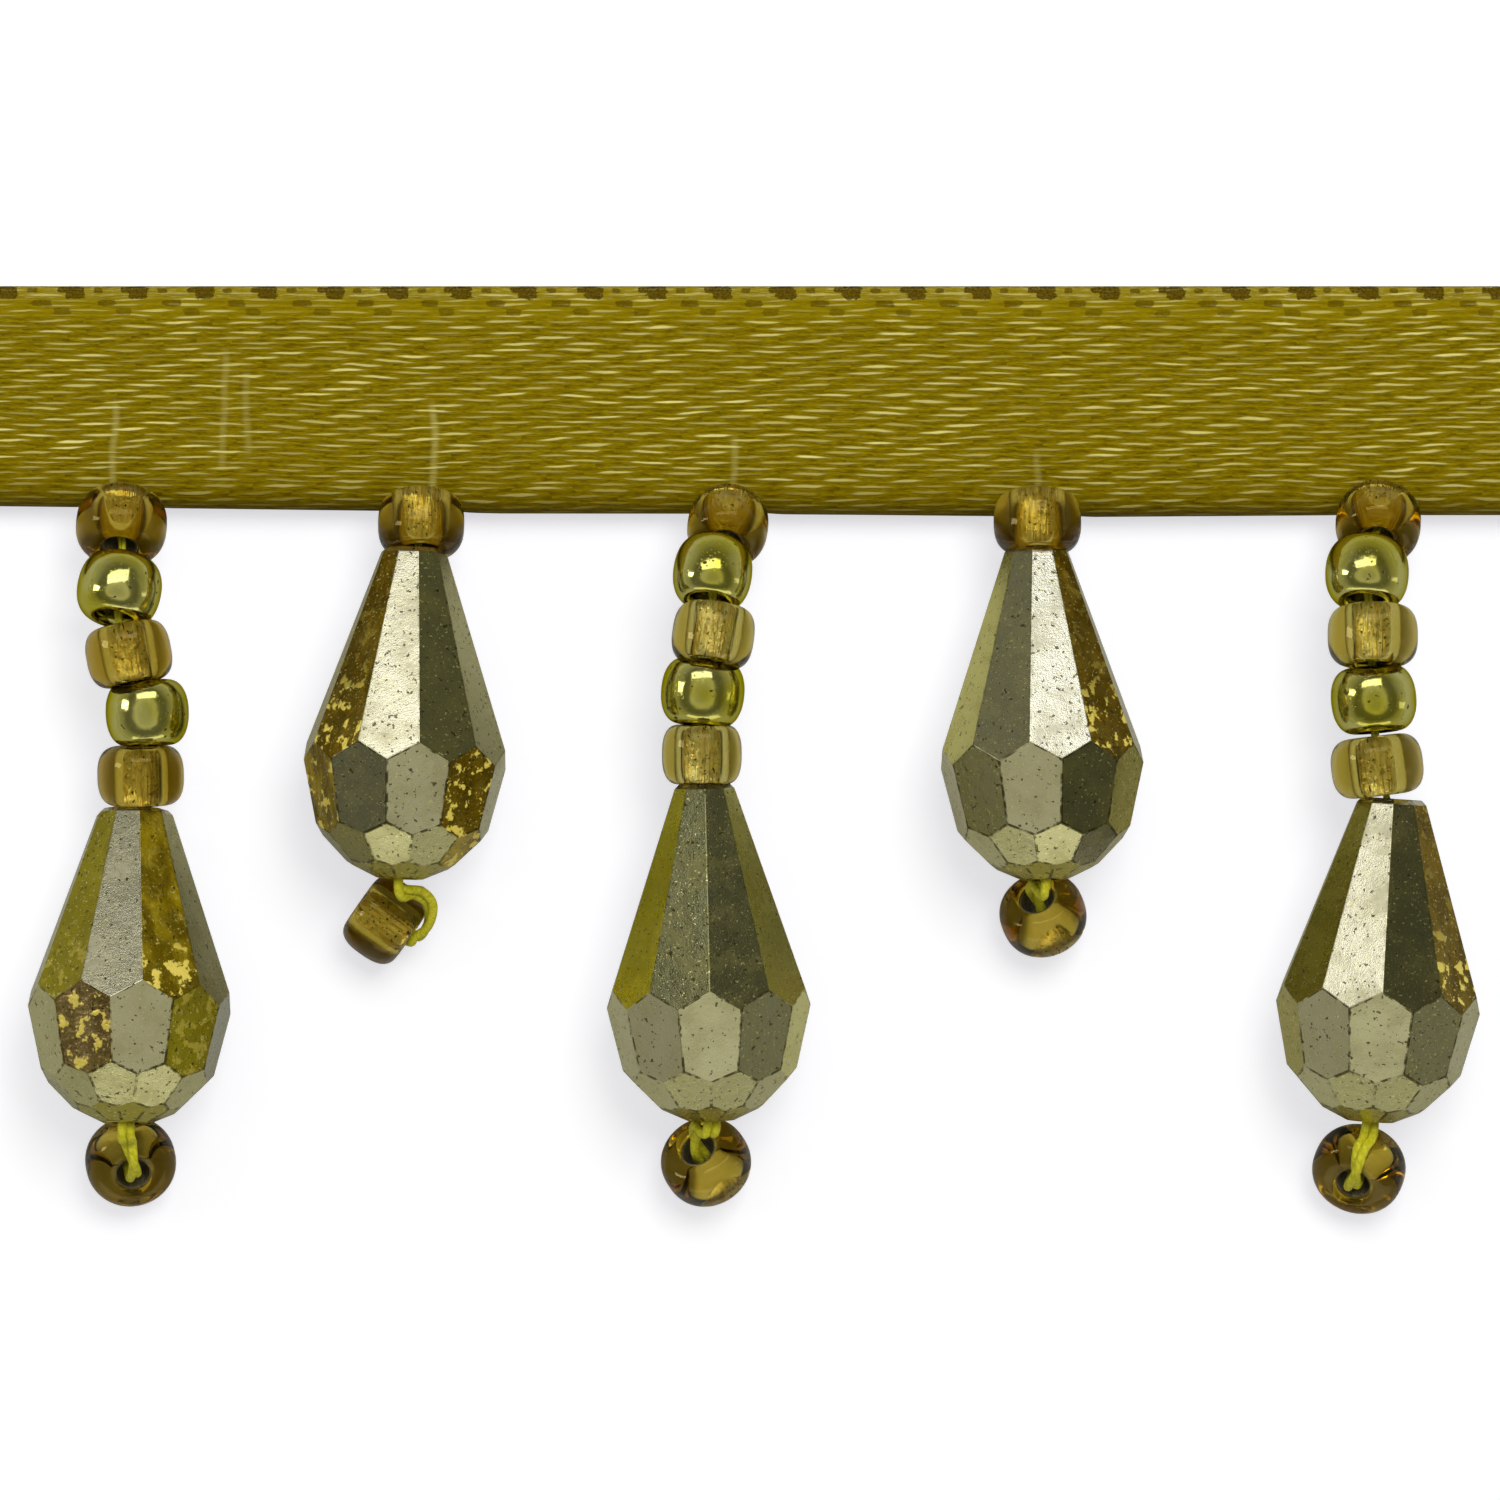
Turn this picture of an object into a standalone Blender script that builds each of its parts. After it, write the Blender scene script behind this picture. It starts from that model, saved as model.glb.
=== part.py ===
"""Beaded fringe trim: a satin ribbon folded in half lengthwise, with five strands
of beads sewn into its fold, laid out flat.

X runs along the ribbon, Y from the bead tips up to the ribbon's open edge, and Z up
from the surface that the trim lies on. Each strand hangs from the fold towards -Y.
Long and short strands take turns. A strand ends in a faceted drop bead and a small
stopper bead, which the thread loops through.
"""
import math
from collections import namedtuple

import bmesh
import bpy
import numpy as np
from mathutils import Matrix, Vector

MM = 0.001

# Ribbon: 20 mm satin, folded in half with the fold towards the beads
RIBBON_LENGTH = 75.0 * MM
OPEN_EDGE_Y = 20.8 * MM
BACK_LAYER_LIP = 0.1 * MM
LAYER_THICKNESS = 1.0 * MM
LAYER_GAP = 0.35 * MM
RIBBON_STATIONS = 32
FLAT_STEPS = 4
FOLD_STEPS = 8

# The fold's edge isn't straight: where it lies, by place along the ribbon
FoldPoint = namedtuple("FoldPoint", "x y")
FOLD_EDGE = [
    FoldPoint(-37.5, 10.98),
    FoldPoint(-26.3, 10.85),
    FoldPoint(-16.7, 10.73),
    FoldPoint(-11.2, 10.61),
    FoldPoint(-2.2, 10.60),
    FoldPoint(6.8, 10.53),
    FoldPoint(14.9, 10.45),
    FoldPoint(26.3, 10.53),
    FoldPoint(37.5, 10.54),
]

# Small beads: barrels with a wide thread hole
BEAD_STEPS = 16
BEAD_BORE = 0.82 * MM
BEAD_RIM = 0.95 * MM
BORE_EASE = 0.12 * MM
GLASS_LENGTH = 2.35 * MM
MIRROR_LENGTH = 2.6 * MM
BARREL_ANGLES = (90, 62, 34, 0, -34, -62, -90)
BARREL_SQUARENESS = 0.75

# x, y, z: centre in mm. lean: degrees to the right going down the strand.
# pitch: degrees that the lower end is lifted. width: outside diameter in mm.
Bead = namedtuple("Bead", "kind x y z lean pitch width")
STRANDS = {
    1: [
        Bead("glass", -28.04, 10.04, 3.45, -2, 35, 4.05),
        Bead("mirror", -28.12, 7.37, 4.76, -10, 22, 3.75),
        Bead("glass", -27.62, 4.30, 4.79, 11, 5, 3.80),
        Bead("mirror", -26.79, 1.51, 4.34, 2, 2, 3.70),
        Bead("glass", -27.18, -1.27, 3.47, 1, -4, 3.86),
    ],
    2: [Bead("glass", -14.66, 10.08, 3.68, 0, 22, 3.85)],
    3: [
        Bead("glass", -0.99, 9.99, 3.45, -8, 48, 3.60),
        Bead("mirror", -1.63, 8.18, 5.78, -8, 26, 3.50),
        Bead("glass", -1.65, 5.13, 5.69, -8, 12, 3.65),
        Bead("mirror", -2.14, 2.30, 5.34, -5, 4, 3.70),
        Bead("glass", -2.14, -0.52, 4.70, 0, 0, 3.55),
    ],
    4: [Bead("glass", 12.80, 10.16, 4.08, 0, 14, 3.90)],
    5: [
        Bead("glass", 28.03, 10.13, 3.45, -8, 48, 3.80),
        Bead("mirror", 27.39, 8.04, 5.57, -5, 25, 3.70),
        Bead("glass", 27.63, 4.98, 5.50, 0, 10, 4.00),
        Bead("mirror", 27.72, 2.10, 5.17, 5, 4, 3.80),
        Bead("glass", 27.89, -0.71, 4.70, 7, 0, 4.10),
    ],
}

# Drop bead: ten facets to a tier, and each tier turned half a facet from the last.
# height and apothem: a point on the facet, in mm above the wide end and from the axis.
# taper: mm of apothem lost for each mm further up. turned: in half facets.
FACETS = 10
DROP_BORE = 0.65 * MM
BORE_STEPS = 12
BLANK_RADIUS = 6.0 * MM
Tier = namedtuple("Tier", "height apothem taper turned")
TIERS = [
    Tier(5.08, 4.540, 0.331, 1),
    Tier(5.08, 4.318, -0.227, 0),
    Tier(2.30, 3.877, -0.966, 1),
    Tier(0.70, 2.451, -2.106, 0),
]
NECK_CHAMFER = 0.3 * MM

# x, y: centre of the wide end in mm. lift: degrees that the wide end is raised.
# turn: azimuth of the facet edge that faces up, in degrees to the right.
Drop = namedtuple("Drop", "x y length lean lift turn")
DROPS = {
    1: Drop(-27.70, -16.58, 13.80, -1.0, 9, 11),
    2: Drop(-15.57, -5.72, 14.15, -2.4, 3, 10),
    3: Drop(-1.74, -16.49, 14.45, 1.1, 0, 1),
    4: Drop(13.12, -5.77, 14.20, 1.4, 4, -8.4),
    5: Drop(27.59, -16.53, 14.20, -3.9, 0, -2),
}

# Stopper bead: lean and pitch point out of the end where the thread goes in.
Stopper = namedtuple("Stopper", "x y lean pitch width length")
STOPPERS = {
    1: Stopper(-27.75, -18.43, 19.5, 60, 4.05, 2.45),
    2: Stopper(-16.35, -7.62, 55.0, 0, 3.75, 2.75),
    3: Stopper(-1.97, -18.45, 212.0, 51, 4.00, 2.45),
    4: Stopper(13.12, -7.38, 203.0, 46, 3.85, 2.45),
    5: Stopper(27.27, -18.76, -27.0, 50, 4.15, 2.45),
}

# Thread: two plies lie side by side, drawn here as one round thread.
# The way points lead it from the drop into the stopper, in mm from the stopper's centre.
THREAD_RADIUS = 0.25 * MM
THREAD_STICKS_OUT = 0.1 * MM
CURVE_STEPS = 2
THREAD_IN_DROP = (0.9, 0.5, 0.12, -0.03)
Way = namedtuple("Way", "x y z")
THREAD_WAYS = {
    1: [Way(0.10, 0.95, 2.75), Way(0.25, 0.10, 2.35)],
    2: [Way(1.70, 1.30, 1.80), Way(2.20, 0.50, 1.05), Way(2.15, -0.55, 0.45), Way(1.80, -1.20, 0.05)],
    3: [Way(-0.10, 1.40, 2.30), Way(-0.40, 0.95, 1.50)],
    4: [Way(-0.15, 1.10, 2.40), Way(-0.32, 0.95, 1.50)],
    5: [Way(-0.10, 1.00, 2.75), Way(-0.30, 0.10, 2.35)],
}

Finish = namedtuple("Finish", "colour roughness metallic")
FINISHES = {
    "olive_satin": Finish((0.26, 0.21, 0.02), 0.45, 0.0),
    "amber_glass": Finish((0.42, 0.25, 0.03), 0.08, 0.2),
    "mirror_gold": Finish((0.55, 0.55, 0.25), 0.12, 1.0),
    "plated_facets": Finish((0.50, 0.48, 0.24), 0.18, 1.0),
    "chartreuse_thread": Finish((0.45, 0.45, 0.02), 0.8, 0.0),
}


def clear_scene():
    """Removes what a new scene holds."""
    for obj in list(bpy.data.objects):
        bpy.data.objects.remove(obj, do_unlink=True)


def make_collection(name):
    """A collection linked to the scene."""
    collection = bpy.data.collections.new(name)
    bpy.context.scene.collection.children.link(collection)
    return collection


def make_material(name):
    """A Principled material with one of the FINISHES."""
    finish = FINISHES[name]
    material = bpy.data.materials.new(name)
    material.use_nodes = True
    shader = material.node_tree.nodes["Principled BSDF"]
    shader.inputs["Base Color"].default_value = (*finish.colour, 1.0)
    shader.inputs["Roughness"].default_value = finish.roughness
    shader.inputs["Metallic"].default_value = finish.metallic
    return material


def add_object(name, data, collection, material=None):
    """An object with its data in a collection."""
    obj = bpy.data.objects.new(name, data)
    collection.objects.link(obj)
    if material:
        data.materials.append(material)
    return obj


def strand_direction(lean, pitch):
    """The unit vector down a strand: -Y, turned by lean in the plane and lifted by pitch."""
    lean, pitch = math.radians(lean), math.radians(pitch)
    level = math.cos(pitch)
    return Vector((math.sin(lean) * level, -math.cos(lean) * level, math.sin(pitch)))


def facing_up(axis):
    """A rotation that puts local Z on the axis and local X as near to world +Z as it can be."""
    front = (Vector((0, 0, 1)) - axis * axis.z).normalized()
    side = axis.cross(front)
    return Matrix((front, side, axis)).transposed()


def smooth_path(points, steps):
    """Points on a Catmull-Rom curve through the given ones."""
    ends = [2 * points[0] - points[1], *points, 2 * points[-1] - points[-2]]
    path = []
    for a, b, c, d in zip(ends, ends[1:], ends[2:], ends[3:]):
        for step in range(steps):
            t = step / steps
            path.append(0.5 * (2 * b + (c - a) * t + (2 * a - 5 * b + 4 * c - d) * t**2
                               + (3 * b - a - 3 * c + d) * t**3))
    path.append(points[-1])
    return path


def barrel_profile(width, length):
    """Closed half section of a small bead, (radius, height) pairs, outer side first."""
    outer = []
    for angle in BARREL_ANGLES:
        c, s = math.cos(math.radians(angle)), math.sin(math.radians(angle))
        bulge = max(c, 0.0) ** BARREL_SQUARENESS
        rise = math.copysign(abs(s) ** BARREL_SQUARENESS, s)
        outer.append((BEAD_RIM + (width / 2 - BEAD_RIM) * bulge, length / 2 * rise))
    bore_end = length / 2 - BORE_EASE
    return [*outer, (BEAD_BORE, -bore_end), (BEAD_BORE, bore_end)]


def make_bead(name, centre, axis, width, length, collection, material):
    """A small bead: its half section turned about its hole."""
    profile = barrel_profile(width, length)
    mesh = bpy.data.meshes.new(name)
    count = len(profile)
    edges = [(i, (i + 1) % count) for i in range(count)]
    mesh.from_pydata([(r, 0, z) for r, z in profile], edges, [])
    bead = add_object(name, mesh, collection, material)
    turn = bead.modifiers.new("turned", "SCREW")
    turn.axis = "Z"
    turn.steps = turn.render_steps = BEAD_STEPS
    turn.use_merge_vertices = True
    turn.merge_threshold = 0.000001
    turn.use_smooth_shade = True
    bead.rotation_euler = facing_up(axis).to_euler()
    bead.location = centre
    return bead


def resting_height(axis, width, length):
    """How high a small bead's centre is when it rests on the surface."""
    level = math.sqrt(1 - axis.z**2)
    return max(r * level + z * abs(axis.z) for r, z in barrel_profile(width, length))


def cut_away(bm, point, normal):
    """Grinds the solid flat at a plane, and closes it there."""
    everything = [*bm.verts, *bm.edges, *bm.faces]
    cut = bmesh.ops.bisect_plane(bm, geom=everything, plane_co=point, plane_no=normal,
                                 clear_outer=True)
    rim = [item for item in cut["geom_cut"] if isinstance(item, bmesh.types.BMEdge)]
    bmesh.ops.edgenet_fill(bm, edges=rim)


def cut_facets(bm, height, apothem, taper, first):
    """One tier: ten planes around the axis, the first at azimuth first."""
    for k in range(FACETS):
        azimuth = math.radians(first + k * 360 / FACETS)
        outward = Vector((math.cos(azimuth), math.sin(azimuth), 0))
        point = outward * apothem + Vector((0, 0, height))
        cut_away(bm, point, (outward + Vector((0, 0, taper))).normalized())


def drop_mesh(name, drop):
    """The faceted blank, wide end at the origin and neck up +Z."""
    length = drop.length * MM
    bm = bmesh.new()
    bmesh.ops.create_cone(bm, cap_ends=True, segments=4 * FACETS, radius1=BLANK_RADIUS,
                          radius2=BLANK_RADIUS, depth=length)
    bmesh.ops.translate(bm, verts=bm.verts, vec=(0, 0, length / 2))
    half_facet = 180 / FACETS
    for tier in TIERS:
        cut_facets(bm, tier.height * MM, tier.apothem * MM, tier.taper,
                   drop.turn + tier.turned * half_facet)
    long_facet = TIERS[0]
    neck = long_facet.apothem * MM - long_facet.taper * (length - long_facet.height * MM)
    cut_facets(bm, length, neck - NECK_CHAMFER, 1.0, drop.turn + half_facet)
    bmesh.ops.recalc_face_normals(bm, faces=bm.faces)
    mesh = bpy.data.meshes.new(name)
    bm.to_mesh(mesh)
    bm.free()
    return mesh


def make_drop(name, drop, parts, cutters, material):
    """A faceted drop lying on its lowest corner, with its hole bored through."""
    mesh = drop_mesh(name, drop)
    up_strand = -strand_direction(drop.lean, drop.lift)
    turn = facing_up(up_strand)
    lowest = min((turn @ v.co).z for v in mesh.vertices)
    obj = add_object(name, mesh, parts, material)
    obj.rotation_euler = turn.to_euler()
    obj.location = (drop.x * MM, drop.y * MM, -lowest)
    bpy.ops.mesh.primitive_cylinder_add(vertices=BORE_STEPS, radius=DROP_BORE,
                                        depth=3 * drop.length * MM)
    drill = bpy.context.object
    drill.name = name + "_drill"
    drill.rotation_euler = obj.rotation_euler
    drill.location = obj.location
    drill.hide_render = True
    drill.display_type = "WIRE"
    for owner in list(drill.users_collection):
        owner.objects.unlink(drill)
    cutters.objects.link(drill)
    bore = obj.modifiers.new("bore", "BOOLEAN")
    bore.operation = "DIFFERENCE"
    bore.object = drill
    return obj, up_strand


def make_thread(name, points, collection, material):
    """A round thread along a smooth path."""
    path = smooth_path(points, CURVE_STEPS)
    curve = bpy.data.curves.new(name, "CURVE")
    curve.dimensions = "3D"
    curve.bevel_depth = THREAD_RADIUS
    curve.bevel_resolution = 1
    curve.use_fill_caps = True
    spline = curve.splines.new("POLY")
    spline.points.add(len(path) - 1)
    for point, place in zip(spline.points, path):
        point.co = (*place, 1.0)
    return add_object(name, curve, collection, material)


def fold_section(edge_y):
    """Middle line of the folded ribbon across X: back layer, fold, front layer."""
    radius = (LAYER_THICKNESS + LAYER_GAP) / 2
    low = LAYER_THICKNESS / 2
    centre_y = edge_y + LAYER_THICKNESS / 2 + radius
    back = np.linspace(OPEN_EDGE_Y, centre_y, FLAT_STEPS + 1)
    line = [(y, low) for y in back]
    for k in range(1, FOLD_STEPS):
        angle = math.pi * k / FOLD_STEPS
        line.append((centre_y - radius * math.sin(angle), low + radius * (1 - math.cos(angle))))
    front = np.linspace(centre_y, OPEN_EDGE_Y - BACK_LAYER_LIP, FLAT_STEPS + 1)
    return line + [(y, low + 2 * radius) for y in front]


def make_ribbon(collection, material):
    """The folded ribbon: its middle surface, thickened both ways."""
    fold_x = [point.x * MM for point in FOLD_EDGE]
    fold_y = [point.y * MM for point in FOLD_EDGE]
    stations = np.linspace(-RIBBON_LENGTH / 2, RIBBON_LENGTH / 2, RIBBON_STATIONS + 1)
    sections = [fold_section(np.interp(x, fold_x, fold_y)) for x in stations]
    points = [(x, y, z) for x, section in zip(stations, sections) for y, z in section]
    across = len(sections[0])
    faces = []
    for i in range(RIBBON_STATIONS):
        for j in range(across - 1):
            corner = i * across + j
            faces.append((corner, corner + 1, corner + across + 1, corner + across))
    mesh = bpy.data.meshes.new("ribbon")
    mesh.from_pydata(points, [], faces)
    ribbon = add_object("ribbon", mesh, collection, material)
    thick = ribbon.modifiers.new("cloth", "SOLIDIFY")
    thick.thickness = LAYER_THICKNESS
    thick.offset = 0
    thick.use_even_offset = True
    return ribbon


def make_strand(number, parts, cutters, materials):
    """One strand: small beads, drop, stopper and the thread through them all."""
    start = f"strand_{number}_"
    route = []
    counts = {"glass": 0, "mirror": 0}
    for bead in STRANDS[number]:
        counts[bead.kind] += 1
        length = GLASS_LENGTH if bead.kind == "glass" else MIRROR_LENGTH
        axis = strand_direction(bead.lean, bead.pitch)
        centre = Vector((bead.x, bead.y, bead.z)) * MM
        finish = materials["amber_glass" if bead.kind == "glass" else "mirror_gold"]
        make_bead(f"{start}{bead.kind}_{counts[bead.kind]}", centre, axis, bead.width * MM,
                  length, parts, finish)
        upper, lower = centre - axis * length / 2, centre + axis * length / 2
        if not route:
            route.append(upper - axis * THREAD_STICKS_OUT)
        else:
            route.append((way_out + upper) / 2)
        route.append(centre)
        way_out = lower

    drop = DROPS[number]
    solid, up_strand = make_drop(start + "drop", drop, parts, cutters,
                                 materials["plated_facets"])
    wide_end = Vector(solid.location)
    full = up_strand * drop.length * MM
    route.append((way_out + wide_end + full) / 2)
    route += [wide_end + full * share for share in THREAD_IN_DROP]

    stopper = STOPPERS[number]
    axis = strand_direction(stopper.lean, stopper.pitch)
    width, length = stopper.width * MM, stopper.length * MM
    centre = Vector((stopper.x * MM, stopper.y * MM, resting_height(axis, width, length)))
    make_bead(start + "stopper", centre, axis, width, length, parts, materials["amber_glass"])
    route += [centre + Vector(way) * MM for way in THREAD_WAYS[number]]
    route += [centre + axis * length / 2, centre]
    make_thread(start + "thread", route, parts, materials["chartreuse_thread"])


def main():
    clear_scene()
    parts = make_collection("beaded_fringe_trim")
    cutters = make_collection("cutters")
    materials = {name: make_material(name) for name in FINISHES}
    make_ribbon(parts, materials["olive_satin"])
    for number in STRANDS:
        make_strand(number, parts, cutters, materials)


main()
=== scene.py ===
# %% [markdown]
# # Beaded fringe trim
# A stretch of fringe lies flat on a white table and is seen from straight above. An olive satin
# ribbon is folded in half lengthwise, and five bead strands hang from its fold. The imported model
# gives every piece its place. This script builds each piece again over its node, with the fine
# shape and the finish that the plain solids lack.

import bpy
import numpy as np
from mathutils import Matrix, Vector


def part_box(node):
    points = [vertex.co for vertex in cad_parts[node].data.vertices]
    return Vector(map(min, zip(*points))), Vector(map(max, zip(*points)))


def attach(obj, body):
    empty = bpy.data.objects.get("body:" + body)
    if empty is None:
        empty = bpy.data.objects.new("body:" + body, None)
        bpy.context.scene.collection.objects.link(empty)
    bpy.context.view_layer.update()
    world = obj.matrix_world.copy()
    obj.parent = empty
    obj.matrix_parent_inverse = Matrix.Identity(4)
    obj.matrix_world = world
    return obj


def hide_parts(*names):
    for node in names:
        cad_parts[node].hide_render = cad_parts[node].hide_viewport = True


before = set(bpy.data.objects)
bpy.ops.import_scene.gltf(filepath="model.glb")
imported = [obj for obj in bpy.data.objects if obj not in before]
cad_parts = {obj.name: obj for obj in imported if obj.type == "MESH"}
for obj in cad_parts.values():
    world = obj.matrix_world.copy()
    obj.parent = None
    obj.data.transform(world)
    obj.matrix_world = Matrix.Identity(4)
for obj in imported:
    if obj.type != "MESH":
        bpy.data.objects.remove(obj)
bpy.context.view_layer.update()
MM = 0.001

# %% [markdown]
# ## From a grid of points to a mesh
# Nearly every piece here is a sheet that bends: a profile carried round a bead's hole, or a ring
# carried along a thread. Such a surface is a grid of points. It could be drawn by hand and
# smoothed, but with a grid the shape stays a formula, and numpy works out all points at once.
# The corners of each face are the four neighbouring grid places, and a direction that closes on
# itself wraps round to its first line.

# %% Meshes from grids
def corner_places(rows, columns, loop_rows, loop_columns):
    """Row and column of each face's four corners, before a closed direction wraps round."""
    i = np.arange(rows - (not loop_rows))[:, None, None] + np.array([0, 0, 1, 1])
    j = np.arange(columns - (not loop_columns))[None, :, None] + np.array([0, 1, 1, 0])
    i, j = np.broadcast_arrays(i, j)
    return i.reshape(-1, 4), j.reshape(-1, 4)


def swept_volume(points, quads):
    """Six times the signed volume under the faces: a negative one means they face inwards."""
    a, b, c, d = (points[quads[:, k]] for k in range(4))
    return np.einsum("ij,ij->", a, np.cross(b, c)) + np.einsum("ij,ij->", a, np.cross(c, d))


def surface(name, grid, loop_rows=False, loop_columns=False, capped=False):
    """A smooth mesh through a (rows, columns, 3) grid in mm, with a map of column and row shares.

    A closed surface is turned so that its faces point outwards."""
    rows, columns = grid.shape[:2]
    points = grid.reshape(-1, 3)
    i, j = corner_places(rows, columns, loop_rows, loop_columns)
    quads = (i % rows) * columns + j % columns
    shares = np.stack([j / (columns - (not loop_columns)), i / (rows - (not loop_rows))], -1)
    if loop_columns and (loop_rows or capped) and swept_volume(points, quads) < 0:
        quads, shares = quads[:, ::-1], shares[:, ::-1]
    faces = quads.tolist()
    if capped:
        ends = [list(range(columns)), list(range(len(points) - columns, len(points)))]
        turned = faces[0].index(1) > faces[0].index(0)
        faces += [ends[0][::-1], ends[1]] if turned else [ends[0], ends[1][::-1]]
    mesh = bpy.data.meshes.new(name)
    mesh.from_pydata((points * MM).tolist(), [], faces)
    layer = mesh.uv_layers.new(name="surface")
    flat = np.zeros((len(mesh.loops), 2))
    flat[:len(quads) * 4] = shares.reshape(-1, 2)
    layer.uv.foreach_set("vector", flat.astype(np.float32).ravel())
    mesh.shade_smooth()
    return mesh


def add_piece(name, mesh, node, finish):
    """A finished piece: it rides with the trim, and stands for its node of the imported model."""
    mesh.materials.append(finish)
    piece = bpy.data.objects.new(name, mesh)
    bpy.context.scene.collection.objects.link(piece)
    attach(piece, "root")
    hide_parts(node)
    return piece


# %% [markdown]
# ## Shader maths as expressions
# A finish is a formula too: where a float of the weave lies, how worn a facet is. In the node
# editor each step is a box with wires. Here one small class wraps a socket, so that a + b adds
# the Math node and its wires. Every other node comes from one method, which sets the node's own
# options first and then its sockets.

# %% Signals and finishes
class Signal:
    """One output socket. Arithmetic on it adds Math nodes."""

    def __init__(self, finish, socket):
        self.finish, self.socket = finish, socket

    def math(self, operation, *values):
        return self.finish.node("ShaderNodeMath", {"operation": operation}, dict(enumerate(values)))

    def __add__(self, other):
        return self.math("ADD", self, other)

    def __sub__(self, other):
        return self.math("SUBTRACT", self, other)

    def __rsub__(self, other):
        return self.math("SUBTRACT", other, self)

    def __mul__(self, other):
        return self.math("MULTIPLY", self, other)

    def __truediv__(self, other):
        return self.math("DIVIDE", self, other)

    def __pow__(self, other):
        return self.math("POWER", self, other)

    __radd__ = __add__
    __rmul__ = __mul__

    def floor(self):
        return self.math("FLOOR", self)

    def fraction(self):
        return self.math("FRACT", self)

    def size(self):
        return self.math("ABSOLUTE", self)

    def larger(self, other):
        return self.math("MAXIMUM", self, other)

    def step(self, start, end):
        """0 before start, 1 after end, and a soft curve between them. It falls if end is lower."""
        low, high = min(start, end), max(start, end)
        rise = {"Value": self, "From Min": low, "From Max": high,
                "To Min": float(end < start), "To Max": float(start < end)}
        return self.finish.node("ShaderNodeMapRange", {"interpolation_type": "SMOOTHSTEP"}, rise)


class Finish:
    """A material under construction."""

    def __init__(self, name):
        self.material = bpy.data.materials.new(name)
        self.material.use_nodes = True
        self.tree = self.material.node_tree
        self.tree.nodes.clear()

    def node(self, kind, settings=(), sockets=(), output=0):
        """Adds a node: first its options, then values and links of its sockets."""
        made = self.tree.nodes.new(kind)
        for option, value in dict(settings).items():
            setattr(made, option, value)
        for name, value in dict(sockets).items():
            if isinstance(value, Signal):
                self.tree.links.new(value.socket, made.inputs[name])
            else:
                made.inputs[name].default_value = value
        return Signal(self, made.outputs[output])

    def place(self):
        """The place on the object, in mm."""
        metres = self.node("ShaderNodeTexCoord", output="Object")
        return self.node("ShaderNodeVectorMath", {"operation": "SCALE"},
                         {0: metres, "Scale": 1 / MM})

    def share(self):
        """The place on the piece's own map: column share and row share."""
        return self.node("ShaderNodeUVMap", {"uv_map": "surface"})

    def axis(self, vector, letter):
        return self.node("ShaderNodeSeparateXYZ", sockets={0: vector}, output=letter)

    def point(self, x=0.0, y=0.0, z=0.0):
        return self.node("ShaderNodeCombineXYZ", sockets={"X": x, "Y": y, "Z": z})

    def noise(self, where, scale, detail=2.0, roughness=0.5):
        """Soft random values around a half, with scale features to each mm."""
        sockets = {"Vector": where, "Scale": scale, "Detail": detail, "Roughness": roughness}
        return self.node("ShaderNodeTexNoise", {"noise_dimensions": "3D"}, sockets)

    def lot(self, where):
        """One random number from 0 to 1 for each whole place."""
        return self.node("ShaderNodeTexWhiteNoise", {"noise_dimensions": "3D"}, {"Vector": where})

    def blend(self, share, first, second):
        """From the first colour to the second."""
        return self.node("ShaderNodeMix", {"data_type": "RGBA"},
                         {0: share, 6: first, 7: second}, output=2)

    def relief(self, height, depth):
        """Bumps: the height signal times depth in mm."""
        return self.node("ShaderNodeBump",
                         sockets={"Strength": 1.0, "Distance": depth * MM, "Height": height})

    def shade(self, volume=None, **sockets):
        """Ends the material with a Principled shader. Socket names take _ for a space."""
        named = {name.replace("_", " "): value for name, value in sockets.items()}
        ends = {"Surface": self.node("ShaderNodeBsdfPrincipled", sockets=named)}
        if volume:
            ends["Volume"] = volume
        self.tree.nodes.active = self.tree.nodes.new("ShaderNodeOutputMaterial")
        for name, signal in ends.items():
            self.tree.links.new(signal.socket, self.tree.nodes.active.inputs[name])
        return self.material


def colour(red, green, blue):
    """A colour as a picture editor gives it, 0 to 255, in the linear light that shaders use."""
    value = np.array([red, green, blue]) / 255
    linear = np.where(value > 0.04045, ((value + 0.055) / 1.055) ** 2.4, value / 12.92)
    return (*linear.tolist(), 1.0)


# %% [markdown]
# ## Table
# The trim lies on a plain white table. A rendered table is never quite as white as a backdrop that
# is lit by its own lamps, so this one glows a little for the camera, and for nothing else.

# %% Table
TABLE_SIZE = 3.0
TABLE_DROP = 0.00002


def table_finish():
    """A matt white table, lit a little more for the camera alone, as a backdrop lamp does."""
    f = Finish("white_table")
    seen = f.node("ShaderNodeLightPath", output="Is Camera Ray")
    glow = f.blend(seen, (0, 0, 0, 1), (1, 1, 1.08, 1))
    return f.shade(Base_Color=(0.5, 0.5, 0.5, 1), Roughness=0.9, Emission_Color=glow,
                   Emission_Strength=0.62)


corners = np.array([[-1, -1], [1, -1], [1, 1], [-1, 1]]) * TABLE_SIZE / 2
table_mesh = bpy.data.meshes.new("table")
table_mesh.from_pydata([(x, y, -TABLE_DROP) for x, y in corners.tolist()], [], [(0, 1, 2, 3)])
table_mesh.materials.append(table_finish())
table = bpy.data.objects.new("table", table_mesh)
bpy.context.scene.collection.objects.link(table)
print("table", TABLE_SIZE, "m wide")

# %% [markdown]
# ## Camera
# The trim was photographed from straight above, so the camera looks down from 400 mm. A long lens
# keeps the tall drops from leaning outwards.

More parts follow.
